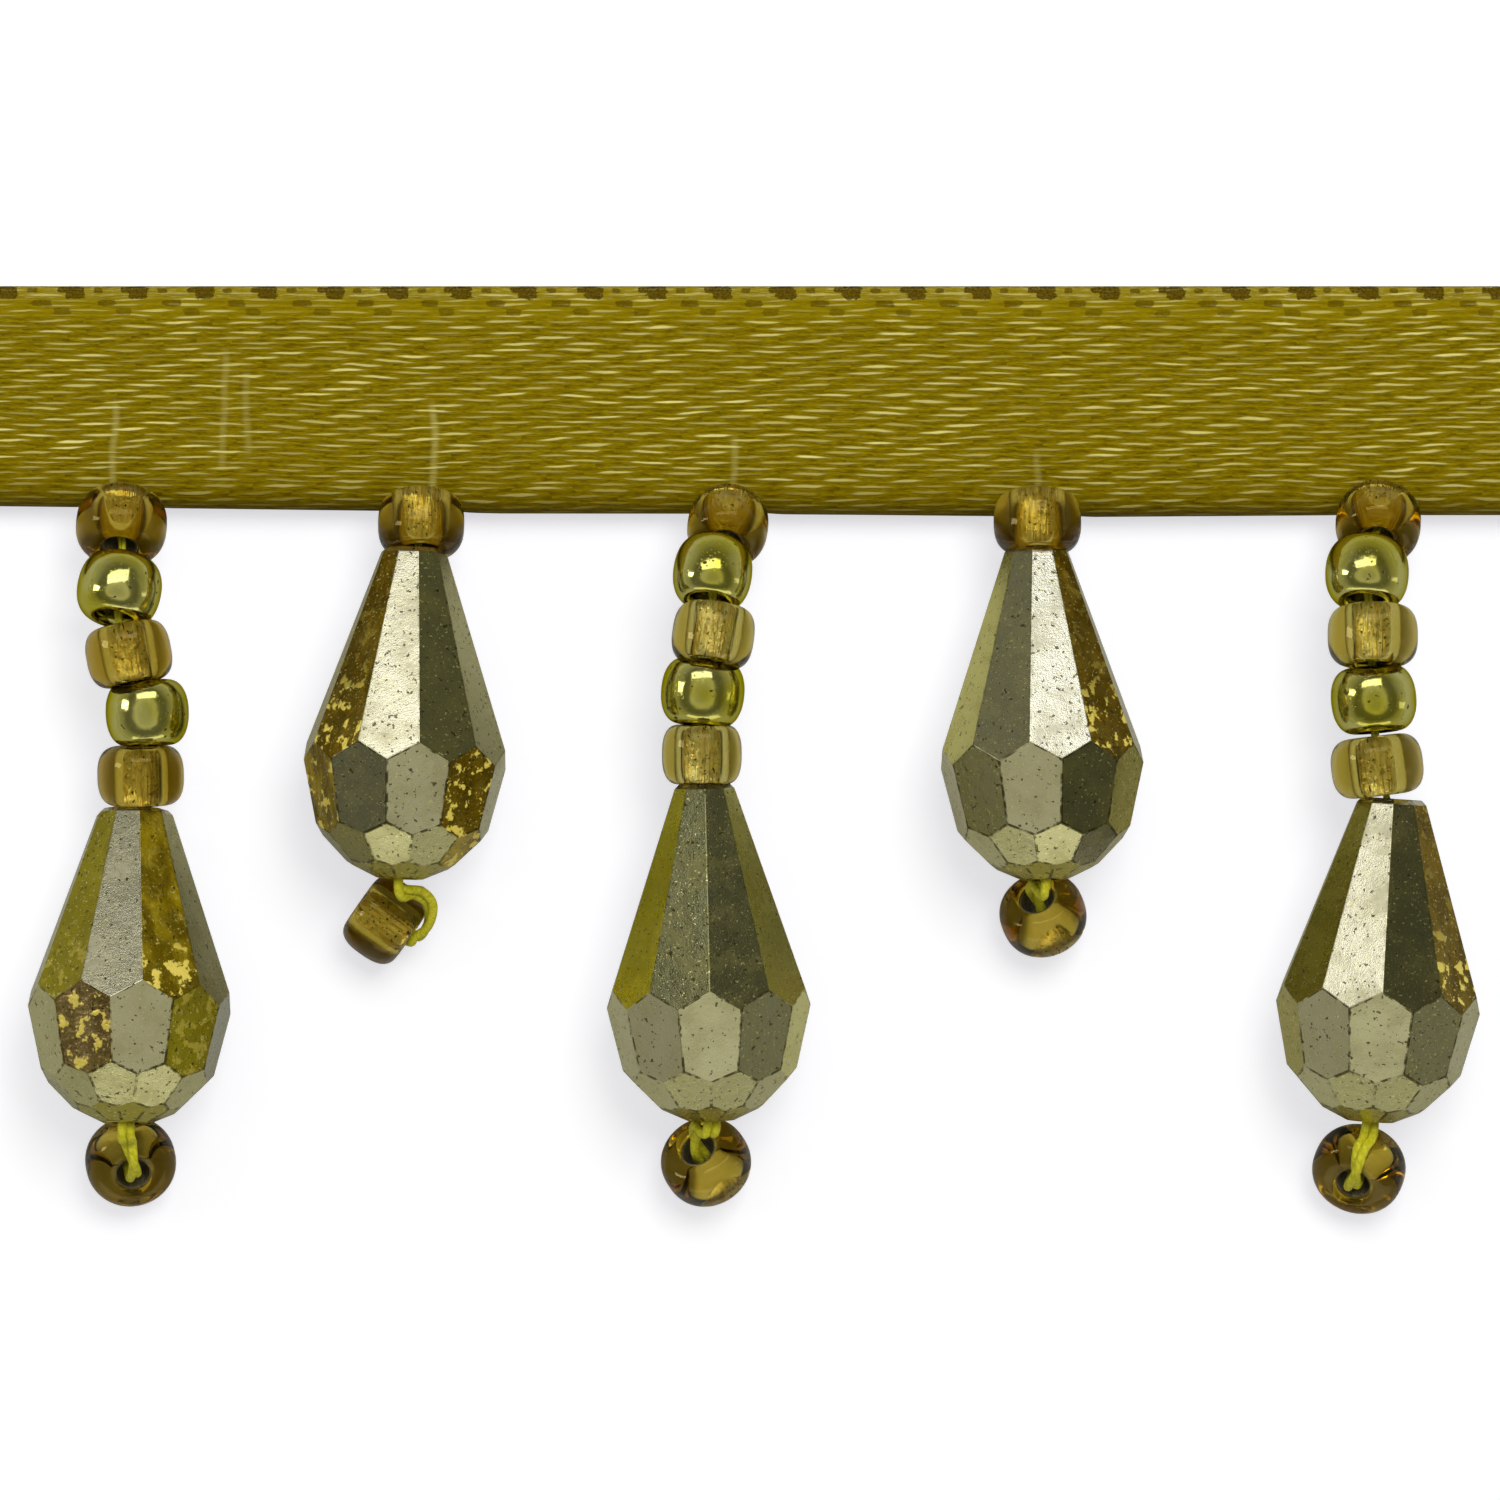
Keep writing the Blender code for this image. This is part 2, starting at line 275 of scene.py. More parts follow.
# %% Camera
CAMERA_HEIGHT = 400 * MM
SEEN_WIDTH = 67.5 * MM
SENSOR = 36.0
lens = bpy.data.cameras.new("camera")
lens.sensor_width = SENSOR
lens.lens = SENSOR * CAMERA_HEIGHT / SEEN_WIDTH
lens.clip_start, lens.clip_end = 0.01, 10.0
camera = bpy.data.objects.new("camera", lens)
camera.location = (0, 0, CAMERA_HEIGHT)
bpy.context.scene.collection.objects.link(camera)
bpy.context.scene.camera = camera
print("lens", round(lens.lens, 1), "mm")

# %% [markdown]
# ## Lamps
# A broad softbox beyond the ribbon gives the beads their highlights at the top, a smaller one on
# the left their second glint, and a pale card at the tips' side the soft plateau in their lower
# half. A plating shows whatever is round it, so the lamps' places matter more than their strength.

# %% Lights
# place in mm, width and height in mm, brightness, and whether platings and glass show the lamp
LAMPS = {
    "softbox": ((-20, 215, 270), (340, 110), 1.8, True),
    "left_box": ((-260, 60, 130), (60, 90), 5.0, True),
    "pale_card": ((10, -300, 60), (420, 90), 0.7, True),
    "right_card": ((330, -20, 60), (60, 120), 0.6, True),
    "fill": ((90, 150, 380), (190, 190), 8.2, False),
}


def add_lamp(name, place, size, brightness, mirrored):
    """A rectangular lamp facing the trim, out of the camera's sight."""
    light = bpy.data.lights.new(name, "AREA")
    light.shape = "RECTANGLE"
    light.size, light.size_y = (v * MM for v in size)
    light.energy = brightness * np.pi * light.size * light.size_y
    lamp = bpy.data.objects.new(name, light)
    lamp.location = [v * MM for v in place]
    lamp.rotation_mode = "QUATERNION"
    lamp.rotation_quaternion = lamp.location.to_track_quat("Z", "Y")
    lamp.visible_camera = False
    lamp.visible_glossy = lamp.visible_transmission = mirrored
    bpy.context.scene.collection.objects.link(lamp)
    print(name, round(light.energy, 3), "W")


for name, (place, size, brightness, mirrored) in LAMPS.items():
    add_lamp(name, place, size, brightness, mirrored)

# %% [markdown]
# ## Room
# Between the lamps the platings mirror the room. A picture of a studio would do, but a few
# brightnesses by height are enough: each tier of facets mirrors its own height.

# %% Room
# Brightness of the room by height, from below the table to overhead, and its warm cast
ROOM = ((0.0, 0.35), (0.50, 0.42), (0.62, 0.30), (0.80, 0.12), (0.88, 0.14), (0.945, 0.48),
        (1.0, 0.36))
ROOM_CAST = (1.0, 0.98, 0.70)
world = bpy.data.worlds.new("room")
world.use_nodes = True
bpy.context.scene.world = world
tree = world.node_tree
direction = tree.nodes.new("ShaderNodeTexCoord").outputs["Generated"]
split = tree.nodes.new("ShaderNodeSeparateXYZ")
half = tree.nodes.new("ShaderNodeMath")
half.operation = "MULTIPLY_ADD"
half.inputs[1].default_value = half.inputs[2].default_value = 0.5
ramp = tree.nodes.new("ShaderNodeValToRGB")
ramp.color_ramp.interpolation = "EASE"
while len(ramp.color_ramp.elements) < len(ROOM):
    ramp.color_ramp.elements.new(0.5)
for stop, (height, brightness) in zip(ramp.color_ramp.elements, ROOM):
    stop.position = height
    stop.color = (*(brightness * share for share in ROOM_CAST), 1)
tree.links.new(direction, split.inputs[0])
tree.links.new(split.outputs["Z"], half.inputs[0])
tree.links.new(half.outputs[0], ramp.inputs[0])
tree.links.new(ramp.outputs[0], tree.nodes["Background"].inputs["Color"])
bpy.context.scene.view_settings.view_transform = "Standard"
print("room brightness overhead", ROOM[-1][1])

# %% [markdown]
# ## The ribbon's shape
# The ribbon is one length of satin, folded in half along its middle with the fold towards the
# beads. It could be draped by simulation, but it lies almost flat and pressed, so its section is
# a curve worked out directly: up from the back layer, round the fold and back over the front.
# The section moves along the ribbon with the fold's slightly uneven edge.

# %% Ribbon
RIBBON_LENGTH = 75.0
OPEN_EDGE_Y = 20.75
BACK_LIP = 0.1
CLOTH = 0.42
FOLD_RADIUS = 0.92
FRONT_TOP = 2.3
OPEN_EDGE_TOP = 1.9
FOLD_EDGE = np.array([(-37.5, 10.98), (-26.3, 10.85), (-16.7, 10.73), (-11.2, 10.61),
                      (-2.2, 10.60), (6.8, 10.53), (14.9, 10.45), (26.3, 10.53), (37.5, 10.54)])
STITCHED_AT = np.array([-28.1, -14.4, -0.5, 13.4, 28.2])
STATIONS = 300
TURN_STEPS = 16
LAYER_STEPS = 36


def soft_lump(distance, reach):
    """A smooth hump, 1 at distance 0 and 0 from reach on: (1 - d squared) squared."""
    return np.clip(1 - (distance / reach) ** 2, 0, 1) ** 2


def ribbon_grid():
    """Middle surface of the folded cloth, as stations along X by steps of the section.

    The section is the back layer, a half circle at the fold, and the front layer. The front
    slopes down a little to the open edge, is drawn in at each strand, and has shallow waves."""
    x = np.linspace(-RIBBON_LENGTH / 2, RIBBON_LENGTH / 2, STATIONS + 1)[:, None]
    edge = np.interp(x, FOLD_EDGE[:, 0], FOLD_EDGE[:, 1])
    low = CLOTH / 2
    centre = edge + CLOTH / 2 + FOLD_RADIUS
    share = np.linspace(0, 1, LAYER_STEPS)[None, :]
    back_y = OPEN_EDGE_Y + BACK_LIP + (centre - OPEN_EDGE_Y - BACK_LIP) * share
    back_z = low + 0 * back_y
    turn = np.linspace(0, np.pi, TURN_STEPS + 2)[None, 1:-1]
    fold_y = centre - FOLD_RADIUS * np.sin(turn)
    fold_z = low + FOLD_RADIUS * (1 - np.cos(turn)) + 0 * x
    front_y = centre + (OPEN_EDGE_Y - centre) * share
    settled = FRONT_TOP - CLOTH / 2 - (low + 2 * FOLD_RADIUS)
    rise = np.sin(np.clip(share * 2.2, 0, 1) * np.pi / 2) * settled
    drop = (FRONT_TOP - OPEN_EDGE_TOP) * np.clip((share - 0.3) / 0.7, 0, 1) ** 1.5
    front_z = low + 2 * FOLD_RADIUS + rise - drop + 0 * x
    wave = 0.035 * np.sin(x * 0.43 + 1.0 + share * 2) + 0.025 * np.sin(x * 1.07 + share * 5)
    front_z = front_z + wave * np.sin(share * np.pi)
    near = soft_lump((x[:, :, None] - STITCHED_AT) / 1.0, 2.2).sum(2)
    front_z = front_z - 0.16 * near * soft_lump(share, 0.22)
    fold_z = fold_z - 0.16 * near * np.sin(turn / 2)
    fold_y = fold_y + 0.10 * near * np.sin(turn)
    y = np.concatenate([back_y, fold_y, front_y], 1)
    z = np.concatenate([back_z, fold_z, front_z], 1)
    return np.stack([x + 0 * y, y, z], -1)


ribbon_points = ribbon_grid()
steps = np.linalg.norm(np.diff(ribbon_points, axis=1), axis=2)
section = steps.sum(1).mean()
# Share of the section at each step
ribbon_share = np.concatenate([[0], np.cumsum(steps.mean(0))]) / section
print("section", round(section, 2), "mm, so the ribbon is cut", round(section, 1), "mm wide")

# %% [markdown]
# ## The satin
# Satin is a weave of long floats: a shiny yarn runs over a dozen others before it dips under
# one. Seen close, each row is a string of lens-shaped gleams with dark pinches between, and the
# rows are shifted against each other. An image could carry that, but it would blur up close and
# repeat. Here a place on the cloth is turned into a row number and a place within its float, and
# the colour, the gloss and the relief all come from that. The open edge has a selvedge of dark
# binding blocks.

# %% Satin finish
ROW_PITCH = 0.25
FLOAT_LENGTH = 2.9
# dark olive of the fibres and the pinches, and also the painted shade at the row sides and near the
# fold
DARK_OLIVE_AND_SHADE = colour(92, 74, 0)
OLIVE = colour(158, 138, 2)
# pale olive of the selvedge and the thread tails, and also the floats' painted sheen
PALE_OLIVE_AND_SHEEN = colour(236, 226, 140)
BINDING = colour(84, 64, 2)
# thread tails under the cloth: mm from the picture's left side, top and foot below the open edge,
# and strength
UNSEEN_START = 3.6
THREAD_TAILS = ((5.7, 5.0, 9.2, 0.5), (10.6, 2.6, 8.0, 0.35), (20.0, 5.0, 9.3, 0.6),
                (33.4, 6.4, 9.2, 0.45), (47.0, 7.0, 9.3, 0.4), (11.6, 3.6, 7.4, 0.3))


def satin_finish():
    """Floats: row number and place in the float give a lens shape, bright in the middle.

    The bright middle of each float is a painted sheen, and its sides a painted shade.
    """
    f = Finish("olive_satin")
    place = f.share()
    x = f.axis(place, "Y") * RIBBON_LENGTH
    across = (1 - f.axis(place, "X")) * float(section)
    sway = f.noise(f.point(x * 0.12, across * 0.5), 1.0, 2.0) - 0.5
    wobble = f.noise(f.point(x * 0.9, across * 2.2), 1.0, 1.0) - 0.5
    rows = (across + sway * 0.55 + wobble * 0.10) / ROW_PITCH
    row = rows.floor()
    shift = f.lot(f.point(row, 3.0)) * 0.35 + row * 0.382
    floats = x / FLOAT_LENGTH + shift + wobble * 0.3
    number = floats.floor()
    on = floats.fraction() - 0.5
    slope = f.lot(f.point(row, number, 5.0)) - 0.3
    in_row = (rows.fraction() - 0.5 + on * slope * 0.7).size() * 2
    along = on.size() * 2
    chance = f.lot(f.point(row, number, 7.0))
    # Each float is painted pale in its middle: a painted sheen, which shine below lays on the
    # colour
    lens_shape = (in_row * in_row * 2.6 + along * along * 1.9).step(1.0, 0.1)
    gleam = lens_shape * (chance * 0.75 + 0.25)
    pinch_chance = f.lot(f.point(row, number, 1.0)) * 0.7 + 0.3
    pinch = along.step(0.55, 0.95) * in_row.step(0.2, 0.8) * pinch_chance
    fibre = f.noise(f.point(x * 2.2, across * 20), 1.0, 3.0, 0.7)
    cloud = f.noise(f.point(x * 0.10, across * 0.22, 4.0), 1.0, 2.0)
    # low marks the cloth near the fold. There the painted sheen is dimmed, the pinches are deepened
    # and the cloth is painted darker: painted shade where the cloth curves over the fold.
    low = across.step(7.4, 10.8)
    # The sides of each row are painted a little darker by in_row: painted shade on the rounded yarn
    base = f.blend(fibre.step(0.25, 0.75) * 0.75 + in_row * 0.2, OLIVE, DARK_OLIVE_AND_SHADE)
    shine = gleam ** 1.3 * (1 - low * 0.55) * (cloud * 1.1 + 0.3) * (fibre * 1.2 + 0.4)
    base = f.blend(shine, base, PALE_OLIVE_AND_SHEEN)
    base = f.blend(pinch * (0.75 + low * 0.25), base, DARK_OLIVE_AND_SHADE)
    base = f.blend(low * 0.45, base, DARK_OLIVE_AND_SHADE)

    ragged_edge = f.noise(f.point(x * 5, across * 6), 1.0, 2.0) - 0.5

    def block(shift_share, centre, half_width, half_height, ragged=0.0):
        """A row of binding blocks: one in each float length, centre mm below the edge."""
        stray = f.noise(f.point(x * 0.35), 1.0, 0.0) - 0.5
        slot = x / FLOAT_LENGTH + shift_share + ragged * stray
        u = (slot.fraction() - 0.5).size() * (FLOAT_LENGTH / half_width) + ragged_edge * 0.9
        v = (across - centre).size() / half_height + ragged_edge * 0.6
        return (u ** 4.0 + v ** 4.0).step(1.35, 0.75)

    edge = across.step(1.75, 1.25)
    pale_edge = across.step(0.70, 0.45)
    base = f.blend(edge * 0.35, base, OLIVE)
    base = f.blend(pale_edge * fibre.step(0.45, 0.75) * 0.45, base, PALE_OLIVE_AND_SHEEN)
    spots = block(0.0, 0.30, 0.42, 0.28, 0.12)
    knots = block(0.19, 0.17, 0.24, 0.13, 0.12)
    flecks = block(-0.36, 0.20, 0.20, 0.11, 0.2)
    second = block(0.5, 0.78, 0.40, 0.15, 0.14)
    third = block(0.22, 1.18, 0.36, 0.16, 0.22)
    grain = f.noise(f.point(x * 9, across * 9), 1.0, 1.0).step(0.3, 0.7)
    binding = spots.larger(knots).larger(flecks * 0.8).larger(second * 0.72).larger(third * 0.55)
    base = f.blend(binding * (0.75 + grain * 0.25), base, BINDING)

    streaks = None
    for at, top, foot, strength in THREAD_TAILS:
        bend = f.noise(f.point(across * 0.5, at), 1.0, 0.0) * 0.5
        line = (x - (at + UNSEEN_START) + bend).size().step(0.26, 0.02)
        line = line * across.step(top, top + 0.8) * across.step(foot + 0.5, foot) * strength
        streaks = line if streaks is None else streaks.larger(line)
    base = f.blend(streaks * fibre.step(0.2, 0.7) * 0.6, base, PALE_OLIVE_AND_SHEEN)

    height = lens_shape * 0.8 + fibre * 0.25 - pinch * 0.6 + streaks * 0.5 + spots * 0.8
    return f.shade(Base_Color=base, Roughness=0.62 - gleam.step(0.0, 1.0) * 0.25,
                   Specular_IOR_Level=0.06, Normal=f.relief(height, 0.045))


def ribbon_mesh():
    """The ribbon's grid, its map measured along the cloth so that the weave isn't stretched."""
    mesh = surface("ribbon_satin", ribbon_points)
    layer = mesh.uv_layers["surface"].uv
    shares = np.zeros(len(mesh.loops) * 2, np.float32)
    layer.foreach_get("vector", shares)
    column = np.rint(shares[0::2] * (len(ribbon_share) - 1)).astype(int)
    shares[0::2] = ribbon_share[column]
    layer.foreach_set("vector", shares)
    return mesh


ribbon = add_piece("ribbon_satin", ribbon_mesh(), "ribbon", satin_finish())
body = ribbon.modifiers.new("cloth", "SOLIDIFY")
body.thickness = CLOTH * MM
body.offset = 0
body.use_even_offset = True
print("ribbon", len(ribbon.data.polygons), "faces")

# %% [markdown]
# ## Small beads
# Two kinds take turns on a strand: clear amber glass with a gold lining in its hole, and glass
# plated like a mirror. Both are short barrels, cut hot from a drawn tube, so their ends are
# rounded over. A ready-made torus or sphere would miss that flattened barrel. The shape is a
# closed profile, outer side and bore, carried round the hole.

# %% Bead shape
BEAD_BORE = 0.82
BEAD_RIM = 0.95
BORE_EASE = 0.12
GLASS_SQUARENESS, MIRROR_SQUARENESS = 0.75, 0.9
BEAD_AROUND = 72
BEAD_SWELL = 0.16
GLASS_LENGTH, MIRROR_LENGTH = 2.35, 2.6


def down_strand(lean, pitch):
    """Unit vector down a strand: -Y, turned right by lean and lifted by pitch, in degrees."""
    lean, pitch = np.radians(lean), np.radians(pitch)
    return np.array([np.sin(lean) * np.cos(pitch), -np.cos(lean) * np.cos(pitch), np.sin(pitch)])


def facing_up(axis):
    """Three rows: the direction nearest to +Z, the one to its side, and the axis itself."""
    front = np.array([0, 0, 1]) - axis * axis[2]
    front = front / np.linalg.norm(front)
    return np.stack([front, np.cross(axis, front), axis])


def turned(profile, frame_rows, centre, around, ripple=0.0):
    """A profile of (radius, height) carried round the axis: radius times cosine and sine."""
    azimuth = np.linspace(0, 2 * np.pi, around, endpoint=False)
    radius = profile[:, :1] * (1 + ripple)
    local = np.stack(np.broadcast_arrays(radius * np.cos(azimuth), radius * np.sin(azimuth),
                                         profile[:, 1:]), -1)
    return local @ frame_rows + centre


def barrel(width, length, squareness=GLASS_SQUARENESS):
    """Closed half section of a bead: a rounded outer side, then the bore back up.

    The side follows cosine and sine to the power squareness: 1 gives an ellipse."""
    angle = np.radians(np.linspace(90, -90, 33))
    bulge = np.clip(np.cos(angle), 0, 1) ** squareness
    rise = np.sign(np.sin(angle)) * np.abs(np.sin(angle)) ** squareness
    outer = np.stack([BEAD_RIM + (width / 2 - BEAD_RIM) * bulge, length / 2 * rise], 1)
    depth = np.linspace(-1, 1, 7) * (length / 2 - BORE_EASE)
    bore = np.stack([np.full(7, BEAD_BORE), depth], 1)
    return np.concatenate([outer, bore])


def ripples(rows, around, strength, seed):
    """Small uneven swells of a hand-finished surface: a sum of waves with random phases."""
    draw = np.random.default_rng(seed)
    i = np.linspace(0, 1, rows)[:, None]
    a = np.linspace(0, 2 * np.pi, around, endpoint=False)[None, :]
    swell = np.zeros((rows, around))
    for waves in range(2, 6):
        around_hole = np.cos(waves * a + draw.uniform(0, 6.3))
        swell += around_hole * np.cos(i * waves * 3 + draw.uniform(0, 6.3)) / waves
    return strength * swell


# %% [markdown]
# ## Where the beads lie
# Each bead tilts its own way, as the thread pulls it, and the photo shows its place and its lean.
# From the fold a long strand rises and then runs on at about the height of its drop's neck.

# %% Bead tables
# kind, x, y, z of the centre in mm, lean, pitch, width: at most 0.3 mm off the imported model's
STRANDS = {
    1: [("glass", -28.04, 10.04, 3.45, -2, 35, 4.05), ("mirror", -28.04, 7.16, 4.76, -10, 22, 3.75),
        ("glass", -27.62, 4.27, 4.79, 11, 5, 3.80), ("mirror", -26.83, 1.66, 4.34, 2, 2, 3.70),
        ("glass", -27.18, -1.15, 3.47, 1, -4, 3.86)],
    2: [("glass", -14.66, 10.08, 3.68, 0, 22, 3.85)],
    3: [("glass", -0.99, 9.99, 3.45, -8, 48, 3.60), ("mirror", -1.66, 7.86, 5.78, -8, 26, 3.50),
        ("glass", -1.63, 5.10, 5.69, -8, 12, 3.65), ("mirror", -2.10, 2.56, 5.34, -5, 4, 3.70),
        ("glass", -2.14, -0.20, 4.70, 0, 0, 3.55)],
    4: [("glass", 12.80, 10.16, 4.08, 0, 14, 3.90)],
    5: [("glass", 28.03, 10.13, 3.45, -8, 48, 3.80), ("mirror", 27.38, 7.86, 5.57, -5, 25, 3.70),
        ("glass", 27.64, 5.08, 5.50, 0, 10, 4.00), ("mirror", 27.70, 2.24, 5.17, 5, 4, 3.80),
        ("glass", 27.89, -0.71, 4.70, 7, 0, 4.10)],
}
# x, y, lean, pitch, width, length: stoppers rest on the table
STOPPERS = {
    1: (-27.75, -18.43, 19.5, 60, 4.05, 2.45),
    2: (-16.35, -7.62, 55.0, 0, 3.75, 2.75),
    3: (-1.97, -18.45, 212.0, 51, 4.00, 2.45),
    4: (13.12, -7.38, 203.0, 46, 3.85, 2.45),
    5: (27.27, -18.76, -27.0, 50, 4.15, 2.45),
}
print(sum(map(len, STRANDS.values())), "small beads and", len(STOPPERS), "stoppers")

# %% [markdown]
# ## Glass, lining and plating
# The amber glass is really clear here, so the lining behind it is bent and widened by the
# bead's curve as in life. A painted stripe would not move with the view. The lining is thin
# crinkled metal: its creases run along the hole and catch the light in streaks, with dark
# specks where it has flaked. Its creases are painted pale and gold and its crinkles darker:
# partly the foil's own gold and silver, and partly painted highlight and painted shade. The
# inside of its tube is painted dark, a painted shade in the hole. The mirror beads carry the
# same metal outside, with dark pits.

# %% Bead finishes
# How much red, green and blue light a mm of the glass takes away
AMBER = np.array([0.12, 0.24, 1.05])
AMBER_PALE = np.array([0.08, 0.15, 0.70])


def glass_finish(name, taken):
    """Clear glass, coloured all through: light fades with e to the minus taken times depth."""
    f = Finish(name)
    skin = f.noise(f.place(), 0.9, 2.0)
    most = float(taken.max())
    body = f.node("ShaderNodeVolumeAbsorption",
                  sockets={"Color": (*(1 - taken / most).tolist(), 1.0), "Density": most / MM})
    return f.shade(volume=body, Base_Color=(1, 1, 1, 1), Roughness=0.03, IOR=1.5,
                   Transmission_Weight=1.0, Specular_Tint=(1.0, 0.80, 0.35, 1.0),
                   Normal=f.relief(skin, 0.012))


def lining_finish():
    """Gold-silver foil: creases along the hole, and dark specks.

    The creases and crinkles carry painted highlight and painted shade, and the inside of the
    tube is painted dark as painted shade in the hole.
    """
    f = Finish("lining_foil")
    place = f.share()
    around, along = f.axis(place, "X"), f.axis(place, "Y")
    spot = f.place()
    crease = f.noise(f.point(around * 34, along * 3.0, 2.0), 1.0, 3.0, 0.6)
    crinkle = f.noise(spot, 3.6, 3.0, 0.6)
    speck = f.noise(spot, 7.0, 1.0).step(0.66, 0.70)
    # Creases painted pale and gold, crinkles painted darker: partly the foil's own colour, and
    # partly painted highlight and painted shade.
    golden = crease.step(0.40, 0.62)
    base = f.blend(golden, colour(255, 250, 226), colour(248, 222, 146))
    base = f.blend(crinkle.step(0.56, 0.66) * 0.5, base, colour(120, 92, 30))
    base = f.blend(speck, base, colour(60, 44, 10))
    # The inner face of the tube is painted dark, less metallic and rougher: painted shade in the
    # hole.
    inside = along.step(0.48, 0.52)
    base = f.blend(inside * 0.85, base, colour(50, 38, 6))
    return f.shade(Base_Color=base, Metallic=0.9 - speck * 0.6 - inside * 0.6,
                   Roughness=0.20 + crinkle * 0.2 + inside * 0.3,
                   Normal=f.relief(crease * 1.2 + crinkle * 0.6, 0.12))


def mirror_finish():
    """Plating: near silver with an olive-gold cast, dark pits and fine dust."""
    f = Finish("mirror_plating")
    spot = f.place()
    cast = f.noise(spot, 0.5, 2.0).step(0.35, 0.7)
    pit = f.noise(spot, 2.6, 2.0).step(0.68, 0.71)
    dust = f.noise(spot, 9.0, 2.0).step(0.62, 0.75)
    skin = f.noise(spot, 1.1, 2.0)
    base = f.blend(cast, colour(218, 214, 136), colour(206, 198, 72))
    base = f.blend(pit * 0.9, base, colour(50, 42, 10))
    return f.shade(Base_Color=base, Metallic=1.0 - pit * 0.5,
                   Roughness=0.11 + dust * 0.16 + pit * 0.3,
                   Specular_Tint=(0.55, 0.50, 0.12, 1.0),
                   Normal=f.relief(skin * 0.6 - pit * 0.5 + dust * 0.06, 0.05))


amber_glass = glass_finish("amber_glass", AMBER)
pale_glass = glass_finish("pale_amber_glass", AMBER_PALE)
lining_foil = lining_finish()
mirror_plating = mirror_finish()

# %% [markdown]
# ## The small beads in place
# A glass bead is two pieces: the clear barrel, and in its hole the foil tube that colours it. On
# the real bead the metal is laid inside the hole, too. A mirror bead is one barrel.

# %% Small beads in place
LINING_OUTSIDE, LINING_INSIDE = 0.80, 0.74
LINING_STEPS = 15
LINING_SET_BACK = 0.03


def lining_profile(length):
    """Closed half section of the foil tube: outside down, inside up."""
    height = np.linspace(1, -1, LINING_STEPS) * (length / 2 - BORE_EASE - LINING_SET_BACK)
    outside = np.stack([np.full(LINING_STEPS, LINING_OUTSIDE), height], 1)
    inside = np.stack([np.full(LINING_STEPS, LINING_INSIDE), height[::-1]], 1)
    return np.concatenate([outside, inside])


def add_glass_bead(node, centre, axis, width, length, finish, seed):
    """A clear barrel, and the foil tube in its hole."""
    rows = facing_up(axis)
    profile = barrel(width, length)
    swell = ripples(len(profile), BEAD_AROUND, 0.004, seed)
    shape = turned(profile, rows, centre, BEAD_AROUND, swell)
    add_piece(node + "_glass", surface(node, shape, True, True), node, finish)
    foil = lining_profile(length)
    swell = ripples(len(foil), BEAD_AROUND, 0.006, seed + 50)
    shape = turned(foil, rows, centre, BEAD_AROUND, swell)
    add_piece(node + "_lining", surface(node + "_lining", shape, True, True), node,
              lining_foil)


for number, beads in STRANDS.items():
    counts = {"glass": 0, "mirror": 0}
    for place, (kind, x, y, z, lean, pitch, width) in enumerate(beads):
        counts[kind] += 1
        node = f"strand_{number}_{kind}_{counts[kind]}"
        centre, axis = np.array([x, y, z]), down_strand(lean, pitch)
        seed = number * 10 + place
        if kind == "glass":
            finish = pale_glass if place > 1 and number > 1 else amber_glass
            add_glass_bead(node, centre, axis, width, GLASS_LENGTH + 2 * BEAD_SWELL, finish, seed)
            continue
        profile = barrel(width, MIRROR_LENGTH + 2 * BEAD_SWELL, MIRROR_SQUARENESS)
        shape = turned(profile, facing_up(axis), centre, BEAD_AROUND,
                       ripples(len(profile), BEAD_AROUND, 0.006, seed))
        add_piece(node + "_plated", surface(node, shape, True, True), node,
                  mirror_plating)
    print("strand", number, counts)

# %% [markdown]
# ## The stoppers in place
# The last bead of a strand turns across the thread and stops the drop. It lies on the table by
# itself, so its height follows from its tilt.

# %% Stoppers in place
for number, (x, y, lean, pitch, width, length) in STOPPERS.items():
    axis = down_strand(lean, pitch)
    level = np.sqrt(1 - axis[2] ** 2)
    profile = barrel(width, length)
    height = (profile[:, 0] * level + profile[:, 1] * abs(axis[2])).max()
    node = f"strand_{number}_stopper"
    add_glass_bead(node, np.array([x, y, height + 0.02]), axis, width, length, amber_glass,
                   number + 90)
    print(node, "centre", round(float(height), 2), "mm up")

# %% [markdown]
# ## Drop beads
# The drops are moulded with facets and plated. Ten long facets run up to the neck, ten hexagons
# ring the widest part, and two more tens close the wide end. All corners lie on rings round the
# axis, so a ring is a height, a radius and a half turn, and each facet joins numbered corners.
# Planes could cut the shape from a blank, as the imported solid does, but rings give each facet
# a number, and the look differs from facet to facet: silvery, grey, olive, or worn so thin that
# the amber body shows. Each facet's colour is partly its plating and partly a painted
# reflection, lighter or darker by what the facet mirrors.

# %% Drop shape
FACETS = 10
HALF = np.pi / FACETS
LONG_APOTHEM, LONG_TAPER, GIRDLE_HEIGHT = 4.540, 0.331, 5.08
NECK_CHAMFER = 0.15
DROP_BORE = 0.65
# height in mm above the wide end, radius, and 1 where the corners sit half a facet on
RINGS = {
    "shoulder": (5.872, 4.498, 0), "girdle": (5.08, 4.54, 1), "lower": (2.30, 3.877, 1),
    "low": (1.806, 3.575, 0), "base": (0.70, 2.451, 0), "foot": (0.503, 2.141, 1),
    "end": (0.0, 1.027, 1), "end_bore": (0.0, DROP_BORE, 0),
}
# x, y of the wide end, length, lean, lift and turn; the necks are up to 0.65 mm longer than in
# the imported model, so that they nearly touch their beads
DROPS = {
    1: (-27.70, -16.58, 14.05, -1.0, 9, 11), 2: (-15.57, -5.72, 14.75, -2.4, 3, 10),
    3: (-1.74, -16.49, 15.00, 1.1, 0, 1), 4: (13.12, -5.77, 14.85, 1.4, 4, -8.4),
    5: (27.59, -16.53, 14.40, -3.9, 0, -2),
}


